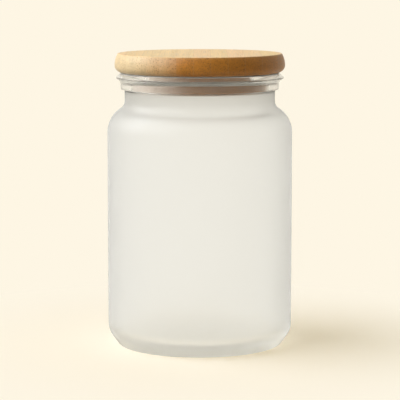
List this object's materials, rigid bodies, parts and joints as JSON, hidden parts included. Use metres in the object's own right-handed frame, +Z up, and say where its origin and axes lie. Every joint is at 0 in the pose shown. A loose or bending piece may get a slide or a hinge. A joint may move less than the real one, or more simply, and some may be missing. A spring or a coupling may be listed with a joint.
{
  "type": "frosted glass jar",
  "caption": "Shut frosted glass storage jar with a flared rim, short neck and round shoulder; a bamboo lid plugs the mouth with a finned silicone seal",
  "frame": {"origin": "middle of the foot's bearing ring, at the bottom of the bounding box", "axes": "+Z up along the jar's axis of turning, +X to the right and +Y to the back"},
  "size_m": [0.1, 0.1, 0.158],
  "materials": {
    "frosted_glass": "frosted outside, smooth inside",
    "bamboo": "fine sanded, satin oil",
    "silicone": "translucent, satin"
  },
  "bodies": {
    "root": {"glass_jar": "frosted_glass", "bamboo_lid": "bamboo", "silicone_seal": "silicone"}
  },
  "joints": []
}
